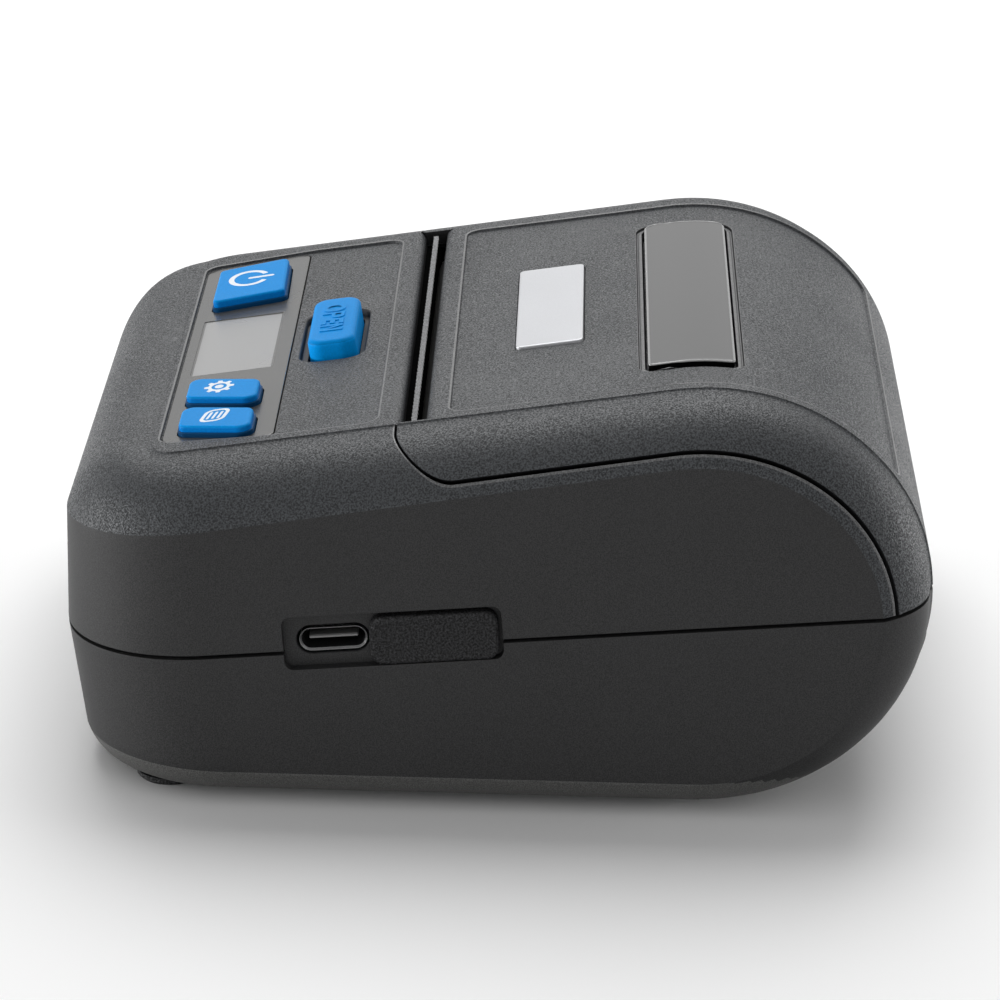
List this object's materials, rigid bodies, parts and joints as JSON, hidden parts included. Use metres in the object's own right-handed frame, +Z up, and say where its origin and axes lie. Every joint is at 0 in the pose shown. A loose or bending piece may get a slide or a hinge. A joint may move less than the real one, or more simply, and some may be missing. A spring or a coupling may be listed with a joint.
{
  "type": "portable receipt printer",
  "caption": "Compact mobile thermal printer with a hinged rear lid over the paper bin, a sloping control panel, a tear slot and a covered charging port.",
  "frame": {"origin": "middle of the base, on the surface that the feet stand on", "axes": "+Z up; +Y from the control panel to the hinge; +X to the side with the charging port"},
  "size_m": [0.1082, 0.116, 0.0569],
  "materials": {
    "case_plastic": "dark charcoal ABS, fine matte spark texture",
    "foot_rubber": "black rubber",
    "cell_wrap": "blue shrink wrap",
    "steel": "bright plated steel",
    "label_gloss": "glossy grey overlay",
    "display_face": "light grey display window",
    "display_dark": "display body",
    "board_green": "green solder mask",
    "black_plastic": "black moulded plastic",
    "cover_rubber": "black pebbled rubber",
    "button_blue": "blue soft gloss",
    "tear_metal": "light grey satin",
    "motor_metal": "satin can",
    "brass": "turned",
    "white_plastic": "natural acetal",
    "head_metal": "cast heat sink",
    "ceramic": "glazed ceramic",
    "smoked": "smoked clear plastic",
    "badge_silver": "satin silver",
    "platen_black": "ground black rubber"
  },
  "bodies": {
    "base": {"lower_case": "case_plastic", "rubber_feet": "foot_rubber", "battery_door": "case_plastic", "battery_pack": "cell_wrap", "case_screws": "steel", "upper_case": "case_plastic", "control_label": "label_gloss", "display_window": "display_face", "display_module": "display_dark", "key_board": "board_green", "key_switches": "black_plastic", "board_screws": "steel", "main_board": "board_green", "board_parts": "black_plastic", "usb_shell": "steel", "usb_tongue": "black_plastic", "tear_bar": "tear_metal", "mech_frame": "steel", "frame_screws": "steel", "paper_guide": "black_plastic", "paper_sensor": "black_plastic", "stepper_motor": "motor_metal", "gear_post": "steel", "head_rod": "steel", "head_springs": "steel", "roll_bin": "black_plastic", "hinge_rod": "steel"},
    "lid": {"lid_shell": "case_plastic", "lid_window": "smoked", "lid_badge": "badge_silver", "platen_holder": "steel", "platen_bushes": "white_plastic"},
    "platen": {"platen_shaft": "steel", "platen_rubber": "platen_black", "platen_gear": "white_plastic"},
    "idler": {"idler_gear": "white_plastic"},
    "motor_rotor": {"motor_pinion": "brass"},
    "power_key": {"power_button": "button_blue"},
    "settings_key": {"settings_button": "button_blue"},
    "feed_key": {"feed_button": "button_blue"},
    "open_key": {"open_button": "button_blue"},
    "print_head": {"head_bracket": "head_metal", "head_strip": "ceramic"},
    "cover": {"port_cover": "cover_rubber"}
  },
  "joints": [
    {"name": "lid_hinge", "type": "hinge", "parent": "base", "child": "lid", "pos_m": [0, 0.05435, 0.0332], "axis": [-1, 0, 0], "range_deg": [0, 88]},
    {"name": "platen_spin", "type": "hinge", "parent": "lid", "child": "platen", "pos_m": [0, -0.006, 0.0444], "axis": [1, 0, 0], "continuous": true},
    {"name": "idler_spin", "type": "hinge", "parent": "base", "child": "idler", "pos_m": [-0.047, -0.0081, 0.03309], "axis": [1, 0, 0], "continuous": true},
    {"name": "motor_spin", "type": "hinge", "parent": "base", "child": "motor_rotor", "pos_m": [-0.047, -0.00306, 0.02388], "axis": [1, 0, 0], "continuous": true},
    {"name": "power_press", "type": "slide", "parent": "base", "child": "power_key", "axis": [0, 0.158, -0.9874], "range_m": [0, 0.0004], "stiffness_N_per_m": 400, "springref_m": -0.0003},
    {"name": "settings_press", "type": "slide", "parent": "base", "child": "settings_key", "axis": [0, 0.158, -0.9874], "range_m": [0, 0.0004], "stiffness_N_per_m": 400, "springref_m": -0.0003},
    {"name": "feed_press", "type": "slide", "parent": "base", "child": "feed_key", "axis": [0, 0.158, -0.9874], "range_m": [0, 0.0004], "stiffness_N_per_m": 400, "springref_m": -0.0003},
    {"name": "open_press", "type": "slide", "parent": "base", "child": "open_key", "axis": [0, 0.158, -0.9874], "range_m": [0, 0.0012], "stiffness_N_per_m": 400, "springref_m": -0.0003},
    {"name": "head_pivot", "type": "hinge", "parent": "base", "child": "print_head", "pos_m": [0, -0.014, 0.0315], "axis": [1, 0, 0], "range_deg": [0, 9.5]},
    {"name": "cover_pull", "type": "slide", "parent": "base", "child": "cover", "axis": [1, 0, 0], "range_m": [0, 0.0028]}
  ],
  "couplings": [
    {"joint": "idler_spin", "follows": "platen_spin", "ratio": -0.53333},
    {"joint": "motor_spin", "follows": "platen_spin", "ratio": 1.3333},
    {"joint": "head_pivot", "follows": "open_press", "rad_per_m": 130}
  ]
}
